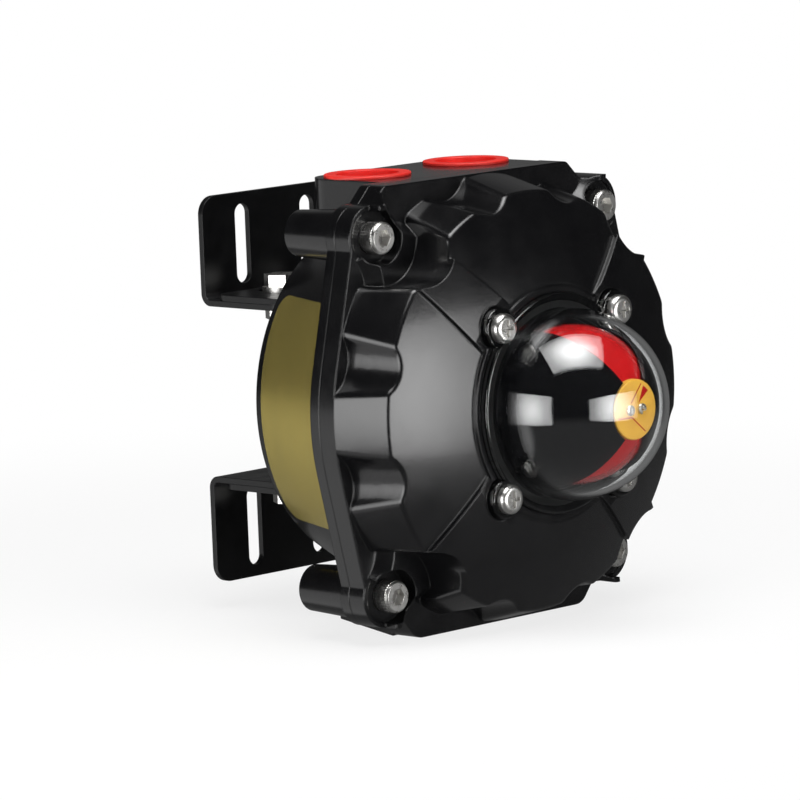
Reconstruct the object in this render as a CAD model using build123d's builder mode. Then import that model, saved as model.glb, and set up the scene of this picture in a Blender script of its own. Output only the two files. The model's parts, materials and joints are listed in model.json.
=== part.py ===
from build123d import *
from math import acos, copysign, cos, degrees, hypot, radians, sin
import os

# Valve limit switch box on a NAMUR bracket. It tells whether a quarter-turn valve is open or closed:
# the shaft follows the actuator, two cams on it work two switches, and a drum under a clear dome shows
# the position. The shaft lies on the Y axis. The feet stand on the plane Y = 0, and every depth is
# measured from there towards the dome, along -Y. Z points up, to the conduit entries. Millimetres.

# ---------------------------------------------------------------- driving dimensions
# Bracket: two L-shaped feet bolted to the legs of a U-shaped bridge
sheet = 2.0
bend_radius = 2.0
foot_width = 66.0
foot_reach = 33.6
foot_corner = 6.0
foot_flange = 37.0
foot_slot_pitch = 30.0
foot_slot_width = 6.5
foot_slot_length = 26.2
foot_slot_margin = 3.7
bridge_span = 60.0
bridge_leg_end = 6.0
bridge_corner = 5.0
bridge_slot = 12.0
bracket_bolt_pitch = 30.0
bracket_bolt_depth = 19.0
bracket_bolt_length = 16.0

# Base housing: a bowl that widens towards the cover
housing_rear = 47.0
bowl_depth = 40.0
bowl_rear_radius = 56.6
rim_round = 1.6
floor_thickness = 7.0
bowl_wall = 6.6
cavity_corner = 5.0
base_flange = 4.0
flange_radius = 72.0
flange_step = 1.0
flange_land = 10.5
lug_reach = 4.8
lug_angle = 47.6
lug_radius = 10.2
lug_web_radius = 8.5
lug_tube_length = 21.0
lug_tube_rear_radius = 7.5
top_rise = 0.2
top_half_width = 36.5
left_shoulder = 6.4
right_shoulder = 13.0
shoulder_round = 3.0
top_rear_gap = 5.0
top_corner = 10.0
foot_drop = 0.4
foot_front_half_width = 39.0
foot_rear_half_width = 23.4
foot_round = 6.0
heel_corner = 5.0
conduit_x = 22.8
conduit_depth_in = 21.0
conduit_bore_radius = 12.4
spigot_height = 3.5
spigot_radius = 14.6
floor_boss_radius = 13.0
floor_boss_height = 4.0
pry_slot_length = 6.5
pry_slot_height = 1.5
pry_slot_angle = 213.0
pry_slot_reach = 3.0

# Cover housing: scalloped skirt, crowned panel, diagonal bands and the boss under the dome
cover_flange = 6.4
skirt_height = 17.8
skirt_draft = 0.264
crown_height = 10.3
crown_bulge = 1.1
scallop_angle = 15.0
scallop_radius = 12.0
scallop_depth = 4.8
scallop_fade = 0.1
scallop_round = 3.5
lug_relief_radius = 15.5
skirt_edge = 1.6
band_lift = 1.8
band_outer_width = 15.0
band_inner_width = 19.0
guard_height = 4.6
guard_bore_radius = 8.6
guard_opening_start = -41.0
guard_opening_end = 85.0
guard_side_reach = 7.7
guard_side_angle = 30.8
guard_side_radius = 12.6
guard_side_slope = 40.0
bolt_seat_drop = 0.8
cover_land = 17.0
cover_wall = 6.5
boss_ring_radius = 38.5
boss_ring_step = 0.8
boss_ring_land = 1.2
cover_boss_radius = 12.5
cover_boss_height = 6.5

# Bolts, screws, washers and nuts
m6_radius = 3.0
m6_head_radius = 5.0
m6_head_height = 6.0
m6_socket_width = 5.0
m6_socket_depth = 3.2
cover_bolt_length = 25.0
m6_hex_width = 10.0
m6_hex_height = 4.0
m6_nut_height = 5.0
m6_washer_radius = 6.2
m6_washer_height = 1.6
m5_radius = 2.5
m5_head_radius = 4.75
m5_head_height = 3.0
dome_screw_length = 12.0
bridge_screw_length = 12.0
bridge_screw_offset = 21.0
m4_radius = 2.0
m4_head_radius = 3.6
m4_head_height = 2.4
m2_radius = 0.9
m2_head_radius = 1.7
m2_head_height = 0.9
disc_screw_grip = 1.5
m3_radius = 1.5
m3_head_radius = 2.6
m3_head_height = 1.8
screw_hole_gap = 0.3
thread_gap = 0.05
thread_runout = 2.0

# Seals and bushings
seal_inset = 5.5
seal_width = 3.0
seal_depth = 2.2
dome_seal_radius = 31.5
dome_seal_width = 2.4
dome_seal_depth = 1.4
bushing_wall = 2.5
running_gap = 0.06
shaft_seal_height = 2.4
shaft_seal_width = 2.0

# Shaft line
shaft_tip_depth = 26.0
tongue_length = 7.0
tongue_thickness = 4.0
journal_radius = 7.0
circlip_thickness = 1.2
circlip_groove = 0.8
circlip_reach = 1.8
thrust_washer = 1.0
collar_radius = 10.5
collar_height = 3.2
spline_radius = 6.0
spline_tooth_height = 0.7
spline_teeth = 12
neck_radius = 5.0
indicator_post_radius = 3.6
fit_gap = 0.1

# Cams and switches
cam_base_radius = 12.0
cam_lift = 2.0
cam_width = 7.0
cam_lobe_arc = 60.0
cam_hub_radius = 9.2
cam_hub_step = 0.8
spring_wire_radius = 0.55
spring_turns = 2.0
quarter_turn = 90.0
switch_length = 27.8
switch_depth = 15.9
switch_width = 10.3
switch_hole_pitch = 22.2
switch_hole_inset = 2.9
switch_spacer = 2.0
chassis_standoff = 6.0
chassis_sheet = 2.0
chassis_post_radius = 4.5
chassis_post_x = 12.0
chassis_post_z = 31.0
lever_arm = 11.0
lever_sheet = 0.6
lever_width = 6.4
lever_pin_radius = 0.75
lever_eye_radius = 1.4
roller_radius = 2.4
roller_width = 4.0
roller_gap = 0.3
plunger_arm = 7.0
plunger_radius = 1.5
plunger_length = 5.0
terminal_length = 6.4
terminal_width = 4.8
terminal_sheet = 0.8

# Terminal block
poles = 8
pole_pitch = 5.5
block_end = 3.0
block_depth = 18.0
block_height = 15.0
block_x = -24.0
block_screw_inset = 8.0
ground_screw_z = -43.0
ground_boss_height = 2.0
well_depth = 2.5

# Indicator and dome
dome_recess = 1.0
dome_flange = 3.5
dome_flange_radius = 35.0
dome_screw_offset = 27.0
dome_ear_radius = 6.5
cover_ear_radius = 7.6
dome_skirt = 8.0
dome_radius = 30.4
dome_wall = 2.0
dome_fillet = 1.5
shroud_radius = 27.2
shroud_wall = 1.2
shroud_floor = 2.0
shroud_window_arc = 58.0
shroud_screw_radius = 23.6
drum_gap = 0.6
drum_wall = 2.0
drum_hub_radius = 7.0
red_sheet = 0.6
cap_radius = 9.3
cap_height = 2.0
cap_screw_offset = 2.6
mark_depth = 0.4

# Plugs and plate
plug_rim_radius = 14.0
plug_rim_height = 1.0
plug_dish_radius = 10.0
plug_dish = 3.0
plug_wall = 2.0
plug_body_length = 12.0
plate_sheet = 0.3
plate_half_height = 36.0
plate_margin = 2.9
plate_corner = 5.0


# ---------------------------------------------------------------- derived places
def across(depth):
    """Plane square to the shaft at this depth, facing the dome: x is X and y is Z."""
    return Plane.XZ.offset(depth)


def rearward(depth):
    """The same plane, facing the feet."""
    return Plane(origin=(0, -depth, 0), x_dir=(1, 0, 0), z_dir=(0, 1, 0))


def along_shaft(angle=0.0):
    """Half plane through the shaft at an angle from +X towards +Z: x is the radius and y the depth."""
    outward = Vector(cos(radians(angle)), 0, sin(radians(angle)))
    return Plane(origin=(0, 0, 0), x_dir=outward, z_dir=outward.cross(Vector(0, -1, 0)))


def polar(radius, angle):
    return (radius * cos(radians(angle)), radius * sin(radians(angle)))


def corners(x, z):
    """Four points placed symmetrically about both axes."""
    return [(x, z), (-x, z), (-x, -z), (x, -z)]


base_flange_rear = housing_rear + bowl_depth
parting = base_flange_rear + base_flange
ledge = parting + cover_flange
rim = ledge + skirt_height
crown = rim + crown_height
floor = housing_rear + floor_thickness
lug_x, lug_z = polar(flange_radius + lug_reach, lug_angle)
lug_points = corners(lug_x, lug_z)
bolt_seat = ledge - bolt_seat_drop
bowl_front_radius = flange_radius - flange_step
top_height = flange_radius + top_rise
foot_height = flange_radius + foot_drop
cavity_front_radius = flange_radius - flange_land
seal_radius = flange_radius - seal_inset
rim_radius = flange_radius - skirt_draft * skirt_height
inner_crown = crown - boss_ring_step - cover_wall
crown_slope = (crown - boss_ring_step - rim) / (rim_radius - boss_ring_radius)

floor_boss_face = floor + floor_boss_height
collar_rear = floor_boss_face + thrust_washer
collar_front = collar_rear + collar_height
chassis_rear = floor + chassis_standoff
chassis_front = chassis_rear + chassis_sheet
switch_rears = [chassis_front, chassis_front + switch_width + switch_spacer]
switch_middles = [rear + switch_width / 2 for rear in switch_rears]
switch_stack_front = switch_rears[1] + switch_width

cam_high_radius = cam_base_radius + cam_lift
lever_face = lever_sheet / 2
roller_offset = lever_face + roller_gap + roller_radius
pivot_x = cam_high_radius + roller_gap + roller_radius + roller_offset
pivot_z = -lever_arm
switch_face = pivot_x + lever_eye_radius + roller_gap
pivot_distance = hypot(pivot_x, pivot_z)
roller_arm = hypot(lever_arm, roller_offset)


def pivot_angle(cam_radius):
    """Angle at the lever's pivot between the shaft and a roller that rests on this cam radius."""
    reach = cam_radius + roller_gap + roller_radius
    return degrees(acos((pivot_distance**2 + roller_arm**2 - reach**2) / (2 * pivot_distance * roller_arm)))


lever_throw = pivot_angle(cam_high_radius) - pivot_angle(cam_base_radius)
plunger_travel = plunger_arm * sin(radians(lever_throw))

dome_seat = crown - dome_recess
dome_centre = dome_seat + dome_skirt
shroud_rim = dome_seat + shroud_floor + m3_head_height + drum_gap
drum_radius = shroud_radius - shroud_wall - drum_gap
drum_rear = shroud_rim
drum_crown = dome_centre + (drum_radius**2 - cap_radius**2) ** 0.5
disc_screw_points = [(-cap_screw_offset, 0), (cap_screw_offset, 0)]
block_z = poles * pole_pitch / 2 + block_end
os.makedirs("parts", exist_ok=True)


def finish(builder, name):
    """Label one finished piece and write its STEP file."""
    builder.part.label = name
    export_step(builder.part, f"parts/{name}.step")


# ---------------------------------------------------------------- fasteners
def screws(name, plane, points, shank, length, head, head_height, drive, twin=None):
    """Equal screws with their heads standing on the plane, and their mirror images about a twin plane."""
    with BuildPart() as made:
        with BuildSketch(plane):
            with Locations(*points):
                if drive == "hex":
                    RegularPolygon(head, 6, major_radius=False)
                else:
                    Circle(head)
        extrude(amount=head_height)
        top = made.faces().filter_by(Plane(plane.origin, z_dir=plane.z_dir)).group_by(
            Axis(plane.origin, plane.z_dir))[-1]
        if drive == "cross":
            fillet(top.edges(), 0.55 * head_height)
        elif drive == "socket":
            chamfer(top.edges(), 0.08 * head_height)
        with BuildSketch(plane):
            with Locations(*points):
                Circle(shank)
        extrude(amount=-length)
        if drive != "hex":
            with BuildSketch(plane.offset(head_height)):
                with Locations(*points):
                    if drive == "socket":
                        RegularPolygon(m6_socket_width / 2, 6, major_radius=False)
                    else:
                        Rectangle(1.1 * head, 0.24 * head)
                        Rectangle(0.24 * head, 1.1 * head)
            recess = m6_socket_depth if drive == "socket" else head_height / 2
            extrude(amount=-recess, mode=Mode.SUBTRACT)
        if twin:
            mirror(about=twin)
    finish(made, name)


def rings(name, plane, points, inner, outer, height, twin=None, sides=0):
    """Equal flat rings, or hexagons where sides is 6, standing on the plane."""
    with BuildPart() as made:
        with BuildSketch(plane):
            with Locations(*points):
                if sides:
                    RegularPolygon(outer, sides, major_radius=False)
                else:
                    Circle(outer)
                Circle(inner, mode=Mode.SUBTRACT)
        extrude(amount=height)
        if twin:
            mirror(about=twin)
    finish(made, name)


# ---------------------------------------------------------------- housings
def flange_outline(depth):
    """Round flange with four bolt lugs, the conduit shoulders above and the flat foot below."""
    with BuildSketch(across(depth)) as outline:
        Circle(flange_radius)
        with Locations(*lug_points):
            Circle(lug_web_radius)
        make_hull()
        with Locations(*lug_points):
            Circle(lug_radius)
        with BuildLine():
            Polyline(
                (-lug_x, 0),
                (-lug_x, top_height - left_shoulder),
                (left_shoulder - lug_x, top_height),
                (lug_x - right_shoulder, top_height),
                (lug_x, top_height - right_shoulder),
                (lug_x, 0),
                close=True,
            )
        make_face()
        with BuildLine():
            Polyline(
                (-foot_front_half_width, -foot_height),
                (foot_front_half_width, -foot_height),
                (lug_x, -lug_z),
                (-lug_x, -lug_z),
                close=True,
            )
        make_face()
        fillet(outline.vertices().group_by(Axis.Y)[-1], shoulder_round)
        fillet(outline.vertices().group_by(Axis.Y)[0], foot_round)
    return outline.sketch


with BuildPart() as base_housing:
    # Bowl
    with BuildSketch(along_shaft()) as bowl:
        with BuildLine():
            Polyline(
                (0, housing_rear),
                (bowl_rear_radius, housing_rear),
                (bowl_front_radius, base_flange_rear),
                (0, base_flange_rear),
                close=True,
            )
        make_face()
        fillet(bowl.vertices().group_by(Axis.Y)[0].sort_by(Axis.X)[-1], rim_round)
    revolve(axis=Axis.Y)
    # Conduit block on top and the flat foot below, both reaching into the bowl
    with BuildSketch(Plane.XY.offset(bowl_rear_radius / 2)) as block:
        with BuildLine():
            Polyline(
                (-top_half_width, -base_flange_rear),
                (-top_half_width, -housing_rear - top_rear_gap),
                (top_half_width, -housing_rear - top_rear_gap),
                (top_half_width, -base_flange_rear),
                close=True,
            )
        make_face()
        fillet(block.vertices().group_by(Axis.Y)[-1], top_corner)
    extrude(amount=top_height - bowl_rear_radius / 2)
    with BuildSketch(Plane.XY.offset(-bowl_rear_radius / 2)) as foot:
        with BuildLine():
            Polyline(
                (-foot_front_half_width, -base_flange_rear),
                (-foot_rear_half_width, -housing_rear),
                (foot_rear_half_width, -housing_rear),
                (foot_front_half_width, -base_flange_rear),
                close=True,
            )
        make_face()
        fillet(foot.vertices().group_by(Axis.Y)[-1], heel_corner)
    extrude(amount=-(foot_height - bowl_rear_radius / 2))
    # Flange and its bolt tubes, which widen towards the flange
    extrude(flange_outline(base_flange_rear), amount=base_flange)
    with BuildSketch(across(parting - base_flange - lug_tube_length)):
        with Locations(*lug_points):
            Circle(lug_tube_rear_radius)
    with BuildSketch(across(parting - base_flange)):
        with Locations(*lug_points):
            Circle(lug_web_radius)
    for near, far in zip(base_housing.pending_faces[:4], base_housing.pending_faces[4:]):
        loft([near, far])
    base_housing.pending_faces = []
    # Cavity with the floor bosses left standing
    with BuildSketch(along_shaft()) as hollow:
        with BuildLine():
            Polyline(
                (0, floor),
                (bowl_rear_radius - bowl_wall, floor),
                (cavity_front_radius, parting),
                (0, parting),
                close=True,
            )
        make_face()
        fillet(hollow.vertices().group_by(Axis.Y)[0].sort_by(Axis.X)[-1], cavity_corner)
    revolve(axis=Axis.Y, mode=Mode.SUBTRACT)
    with BuildSketch(across(floor)):
        Circle(floor_boss_radius)
    extrude(amount=floor_boss_height)
    with BuildSketch(across(floor)):
        with Locations(*corners(chassis_post_x, chassis_post_z)):
            Circle(chassis_post_radius)
        with Locations(*corners(bridge_screw_offset, bridge_screw_offset)):
            Circle(2 * m5_radius)
    extrude(amount=chassis_standoff)
    with BuildSketch(across(floor)):
        with Locations((0, ground_screw_z)):
            Circle(m4_head_radius)
    extrude(amount=ground_boss_height)
    # Spigot that centres the bridge
    with BuildSketch(rearward(housing_rear)):
        Circle(spigot_radius)
    extrude(amount=spigot_height)
    # Shaft bore, with the seal's pocket at its rear
    with BuildSketch(rearward(floor_boss_face)):
        Circle(journal_radius + running_gap + bushing_wall)
    extrude(amount=floor_boss_face - housing_rear + spigot_height, mode=Mode.SUBTRACT)
    # Conduit entries, from the top down into the cavity
    with BuildSketch(Plane.XY.offset(top_height)):
        with Locations((-conduit_x, -housing_rear - conduit_depth_in), (conduit_x, -housing_rear - conduit_depth_in)):
            Circle(conduit_bore_radius)
    extrude(amount=-(top_height - bowl_rear_radius + 2 * bowl_wall), mode=Mode.SUBTRACT)
    # Seal groove, tapped holes and the pry slot at the parting line
    with BuildSketch(across(parting)):
        Circle(seal_radius + seal_width / 2)
        Circle(seal_radius - seal_width / 2, mode=Mode.SUBTRACT)
    extrude(amount=-seal_depth, mode=Mode.SUBTRACT)
    with BuildSketch(across(parting)):
        with Locations(*lug_points):
            Circle(m6_radius + thread_gap)
    extrude(amount=-(cover_bolt_length - (bolt_seat - parting) + thread_runout), mode=Mode.SUBTRACT)
    with BuildSketch(across(parting)):
        with Locations(polar(flange_radius, pry_slot_angle)):
            Rectangle(2 * pry_slot_reach, pry_slot_length, rotation=pry_slot_angle)
    extrude(amount=-pry_slot_height, mode=Mode.SUBTRACT)
    with BuildSketch(across(floor + chassis_standoff)):
        with Locations(*corners(chassis_post_x, chassis_post_z)):
            Circle(m4_radius + thread_gap)
        with Locations((0, ground_screw_z)):
            Circle(m4_radius + thread_gap)
    extrude(amount=-(chassis_standoff + floor_thickness / 2), mode=Mode.SUBTRACT)
    with BuildSketch(rearward(housing_rear)):
        with Locations(*corners(bridge_screw_offset, bridge_screw_offset)):
            Circle(m5_radius + thread_gap)
    extrude(amount=-bridge_screw_length, mode=Mode.SUBTRACT)
finish(base_housing, "base_housing")


def skirt_outline(depth):
    """The scalloped outline of the cover at one depth; the scallops grow shallow towards the dome."""
    radius = flange_radius - skirt_draft * (depth - ledge)
    bite = scallop_depth - scallop_fade * (depth - ledge)
    angles = [side + turn for side in (0, 90, 180, 270) for turn in (-scallop_angle, scallop_angle)]
    with BuildSketch(across(depth)) as outline:
        Circle(radius)
        with Locations(*[polar(radius - bite + scallop_radius, angle) for angle in angles]):
            Circle(scallop_radius, mode=Mode.SUBTRACT)
        with Locations(*lug_points):
            Circle(lug_relief_radius, mode=Mode.SUBTRACT)
        fillet(outline.vertices(), scallop_round)
    return outline.sketch


def crown_profile(lift):
    """Half section of everything behind the crowned panel, raised by a lift."""
    outer = rim_radius + cover_wall
    outer_front = rim + lift - crown_slope * cover_wall
    inner_front = crown - boss_ring_step + lift
    with BuildSketch(along_shaft()) as profile:
        with BuildLine():
            Polyline(
                (boss_ring_radius, inner_front),
                (0, inner_front),
                (0, parting),
                (outer, parting),
                (outer, outer_front),
            )
            SagittaArc((outer, outer_front), (boss_ring_radius, inner_front), -crown_bulge)
        make_face()
    return profile.sketch


# Scalloped skirt with its crowned panel
with BuildPart() as skirt_block:
    loft([skirt_outline(ledge).face(), skirt_outline(crown).face()], ruled=True)

with BuildPart() as crowned_skirt:
    add(skirt_block.part)
    revolve(crown_profile(0), axis=Axis.Y, mode=Mode.INTERSECT)
    panel = crowned_skirt.faces().sort_by(lambda face: len(face.edges()))[-1]
    fillet(panel.outer_wire().edges(), skirt_edge)

# Bands on the four diagonals, from the dome's ears out to the bolt guards
with BuildPart() as diagonal_bands:
    for angle in (45, 135, 225, 315):
        with BuildSketch(across(ledge)):
            with BuildLine(Plane.XY.rotated((0, 0, angle))):
                Polyline(
                    (boss_ring_radius - band_lift, -band_inner_width / 2),
                    (flange_radius, -band_outer_width / 2),
                    (flange_radius, band_outer_width / 2),
                    (boss_ring_radius - band_lift, band_inner_width / 2),
                    close=True,
                )
            make_face()
        extrude(amount=crown - ledge + band_lift)
    add(skirt_block.part, mode=Mode.INTERSECT)
    revolve(crown_profile(band_lift), axis=Axis.Y, mode=Mode.INTERSECT)

# Raised guards round the bolt heads, with sloping hollow sides
with BuildPart() as bolt_guards:
    with BuildSketch(across(ledge)):
        with Locations(*lug_points):
            Circle(lug_relief_radius + running_gap)
    extrude(amount=guard_height)
    extrude(flange_outline(ledge), amount=guard_height, mode=Mode.INTERSECT)
    with BuildSketch(across(ledge)):
        for angle in (guard_side_angle, 2 * lug_angle - guard_side_angle):
            with Locations(*corners(*polar(flange_radius + guard_side_reach, angle))):
                Circle(guard_side_radius)
    extrude(amount=guard_height, taper=-guard_side_slope, mode=Mode.SUBTRACT)

with BuildPart() as cover_housing:
    extrude(flange_outline(parting), amount=cover_flange)
    add(crowned_skirt.part)
    add(diagonal_bands.part)
    add(bolt_guards.part)
    # Boss under the dome, one fine step above the panel, with an ear at each dome screw
    with BuildSketch(across(ledge)):
        Circle(boss_ring_radius)
        with Locations(*corners(dome_screw_offset, dome_screw_offset)):
            Circle(cover_ear_radius)
    extrude(amount=crown - boss_ring_step - ledge)
    with BuildSketch(across(ledge)):
        Circle(boss_ring_radius - boss_ring_land)
        with Locations(*corners(dome_screw_offset, dome_screw_offset)):
            Circle(cover_ear_radius - boss_ring_land / 2)
    extrude(amount=crown - ledge)
    # Bolt seats, open on the side away from the cover
    with BuildSketch(across(bolt_seat)):
        with Locations(*lug_points):
            Circle(guard_bore_radius)
    extrude(amount=guard_height + bolt_seat_drop, mode=Mode.SUBTRACT)
    with BuildSketch(across(ledge)):
        for x, z in lug_points:
            across_way, up_way = copysign(1, x), copysign(1, z)
            with BuildLine():
                wedge = [(0, 0)]
                for angle in (guard_opening_start, (guard_opening_start + guard_opening_end) / 2, guard_opening_end):
                    wedge.append(polar(3 * lug_radius, angle))
                Polyline(*[(x + across_way * u, z + up_way * v) for u, v in wedge], close=True)
            make_face()
    extrude(amount=guard_height, mode=Mode.SUBTRACT)
    # Cavity behind the panel, with bosses for the shaft and the dome screws
    cavity_side = flange_radius - cover_land
    cavity_shoulder = cavity_side - skirt_draft * skirt_height
    shoulder_depth = inner_crown - crown_slope * (cavity_shoulder - boss_ring_radius)
    with BuildSketch(along_shaft()) as hollow:
        with BuildLine():
            Polyline(
                (0, parting),
                (cavity_side, parting),
                (cavity_shoulder, shoulder_depth),
                (boss_ring_radius, inner_crown),
                (0, inner_crown),
                close=True,
            )
        make_face()
        fillet(hollow.vertices().sort_by_distance((cavity_shoulder, shoulder_depth))[0], cavity_corner)
    revolve(axis=Axis.Y, mode=Mode.SUBTRACT)
    with BuildSketch(across(inner_crown - cover_boss_height)):
        Circle(cover_boss_radius)
        with Locations(*corners(dome_screw_offset, dome_screw_offset)):
            Circle(cover_ear_radius - 2 * boss_ring_land)
    extrude(amount=cover_boss_height + cover_wall / 2)
    # Dome seat with its seal groove, shaft bore and screw holes
    with BuildSketch(across(dome_seat)):
        Circle(dome_flange_radius + screw_hole_gap)
        with Locations(*corners(dome_screw_offset, dome_screw_offset)):
            Circle(dome_ear_radius + screw_hole_gap)
    extrude(amount=dome_recess, mode=Mode.SUBTRACT)
    with BuildSketch(across(dome_seat)):
        Circle(dome_seal_radius + dome_seal_width / 2)
        Circle(dome_seal_radius - dome_seal_width / 2, mode=Mode.SUBTRACT)
    extrude(amount=-dome_seal_depth, mode=Mode.SUBTRACT)
    with BuildSketch(across(dome_seat)):
        Circle(neck_radius + running_gap + bushing_wall)
    extrude(amount=-(crown - parting), mode=Mode.SUBTRACT)
    with BuildSketch(across(dome_seat)):
        with Locations(*corners(dome_screw_offset, dome_screw_offset)):
            Circle(m5_radius + thread_gap)
    extrude(amount=-dome_screw_length, mode=Mode.SUBTRACT)
    with BuildSketch(across(dome_seat)):
        with PolarLocations(shroud_screw_radius, 4, start_angle=45):
            Circle(m3_radius + thread_gap)
    extrude(amount=-2 * m3_head_height, mode=Mode.SUBTRACT)
    with BuildSketch(across(bolt_seat)):
        with Locations(*lug_points):
            Circle(m6_radius + screw_hole_gap)
    extrude(amount=-(bolt_seat - parting), mode=Mode.SUBTRACT)
finish(cover_housing, "cover_housing")


# ---------------------------------------------------------------- seals and bushings
def bushing(name, plane, bore, length, counterbore):
    """A plain bush standing on the plane, with a pocket for the shaft seal at its far end."""
    with BuildPart() as made:
        with BuildSketch(plane):
            Circle(bore + running_gap + bushing_wall)
            Circle(bore + running_gap, mode=Mode.SUBTRACT)
        extrude(amount=length)
        with BuildSketch(plane.offset(length)):
            Circle(bore + shaft_seal_width)
        extrude(amount=-counterbore, mode=Mode.SUBTRACT)
    finish(made, name)


rings("cover_seal", across(parting - seal_depth), [(0, 0)], seal_radius - seal_width / 2 + fit_gap,
      seal_radius + seal_width / 2 - fit_gap, seal_depth)
rings("dome_gasket", across(dome_seat - dome_seal_depth), [(0, 0)], dome_seal_radius - dome_seal_width / 2 + fit_gap,
      dome_seal_radius + dome_seal_width / 2 - fit_gap, dome_seal_depth)
spigot_end = housing_rear - spigot_height
cover_boss_face = inner_crown - cover_boss_height
bushing("rear_bushing", rearward(floor_boss_face), journal_radius, floor_boss_face - spigot_end, shaft_seal_height)
bushing("cover_bushing", across(cover_boss_face), neck_radius, dome_seat - cover_boss_face, shaft_seal_height)
rings("rear_shaft_seal", across(spigot_end), [(0, 0)], journal_radius, journal_radius + shaft_seal_width, shaft_seal_height)
rings("front_shaft_seal", rearward(dome_seat), [(0, 0)], neck_radius, neck_radius + shaft_seal_width, shaft_seal_height)

# ---------------------------------------------------------------- indicator
with BuildPart() as dome_lens:
    with BuildSketch(across(dome_seat)):
        Circle(dome_flange_radius)
        with Locations(*corners(dome_screw_offset, dome_screw_offset)):
            Circle(dome_ear_radius)
        Circle(dome_radius - dome_wall, mode=Mode.SUBTRACT)
    extrude(amount=dome_flange)
    fillet(dome_lens.edges().group_by(Axis.Y)[0].filter_by(lambda edge: edge.length > dome_radius / 2), dome_fillet / 2)
    with BuildSketch(along_shaft()):
        with BuildLine():
            Line((dome_radius - dome_wall, dome_seat), (dome_radius, dome_seat))
            Line((dome_radius, dome_seat), (dome_radius, dome_centre))
            RadiusArc((dome_radius, dome_centre), (0, dome_centre + dome_radius), -dome_radius)
            Line((0, dome_centre + dome_radius), (0, dome_centre + dome_radius - dome_wall))
            RadiusArc((0, dome_centre + dome_radius - dome_wall), (dome_radius - dome_wall, dome_centre), dome_radius - dome_wall)
            Line((dome_radius - dome_wall, dome_centre), (dome_radius - dome_wall, dome_seat))
        make_face()
    revolve(axis=Axis.Y)
    with BuildSketch(across(dome_seat)):
        with Locations(*corners(dome_screw_offset, dome_screw_offset)):
            Circle(m5_radius + screw_hole_gap)
    extrude(amount=dome_flange, mode=Mode.SUBTRACT)
finish(dome_lens, "dome_lens")


def spherical_shell(outer, inner, rear, opening, angle, arc):
    """Part of a spherical shell about the dome's centre, from a rear depth to a round opening."""
    with BuildPart() as made:
        with BuildSketch(along_shaft(angle)):
            with BuildLine():
                outer_rear = (outer**2 - (rear - dome_centre) ** 2) ** 0.5
                inner_rear = (inner**2 - (rear - dome_centre) ** 2) ** 0.5
                outer_front = dome_centre + (outer**2 - opening**2) ** 0.5
                inner_front = dome_centre + (inner**2 - opening**2) ** 0.5
                Line((inner_rear, rear), (outer_rear, rear))
                ThreePointArc((outer_rear, rear), Vector(0.8 * outer, dome_centre + 0.6 * outer), (opening, outer_front))
                Line((opening, outer_front), (opening, inner_front))
                ThreePointArc((opening, inner_front), Vector(0.8 * inner, dome_centre + 0.6 * inner), (inner_rear, rear))
            make_face()
        revolve(axis=Axis.Y, revolution_arc=arc)
    return made.part


with BuildPart() as indicator_shroud:
    add(spherical_shell(shroud_radius, shroud_radius - shroud_wall, dome_seat + shroud_floor, cap_radius + drum_gap, 0, 360))
    with BuildSketch(across(dome_seat)):
        Circle(dome_radius - dome_wall - drum_gap)
        Circle(cam_base_radius, mode=Mode.SUBTRACT)
    extrude(amount=shroud_floor)
    # Two windows, above and below the shaft
    with BuildSketch(across(shroud_rim)):
        for angle in (90, 270):
            with BuildLine():
                Polyline(
                    (0, 0),
                    polar(2 * shroud_radius, angle - shroud_window_arc / 2),
                    polar(2 * shroud_radius, angle + shroud_window_arc / 2),
                    close=True,
                )
            make_face()
    extrude(amount=2 * shroud_radius, mode=Mode.SUBTRACT)
    # Pockets that let the screw heads down onto the floor
    with BuildSketch(across(dome_seat + shroud_floor)):
        with PolarLocations(shroud_screw_radius, 4, start_angle=45):
            Circle(m3_head_radius + screw_hole_gap)
    extrude(amount=m3_head_height + drum_gap, mode=Mode.SUBTRACT)
    with BuildSketch(across(dome_seat)):
        with PolarLocations(shroud_screw_radius, 4, start_angle=45):
            Circle(m3_radius + screw_hole_gap)
    extrude(amount=shroud_floor, mode=Mode.SUBTRACT)
finish(indicator_shroud, "indicator_shroud")

with BuildPart() as indicator_drum:
    add(spherical_shell(drum_radius, drum_radius - drum_wall, drum_rear, 0.5 * cap_radius, 0, 360))
    # Hub on the shaft and a flat crown for the cap
    with BuildSketch(across(drum_rear)):
        Circle(drum_hub_radius)
    extrude(amount=drum_crown - drum_rear)
    with BuildSketch(across(drum_crown)):
        Circle(drum_radius)
    extrude(amount=drum_radius, mode=Mode.SUBTRACT)
    for angle in (135, 315):
        add(spherical_shell(drum_radius + drum_gap, drum_radius - red_sheet, drum_rear, cap_radius, angle, quarter_turn),
            mode=Mode.SUBTRACT)
    with BuildSketch(across(drum_rear)):
        Circle(indicator_post_radius + running_gap)
    extrude(amount=drum_crown - drum_rear - drum_wall, mode=Mode.SUBTRACT)
    with BuildSketch(across(drum_crown)):
        with Locations(*disc_screw_points):
            Circle(m2_radius + thread_gap)
    extrude(amount=-disc_screw_grip - thread_gap, mode=Mode.SUBTRACT)
finish(indicator_drum, "indicator_drum")

with BuildPart() as red_sectors:
    for angle in (135, 315):
        add(spherical_shell(drum_radius, drum_radius - red_sheet, drum_rear, cap_radius, angle, quarter_turn))
finish(red_sectors, "red_sectors")

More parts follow.
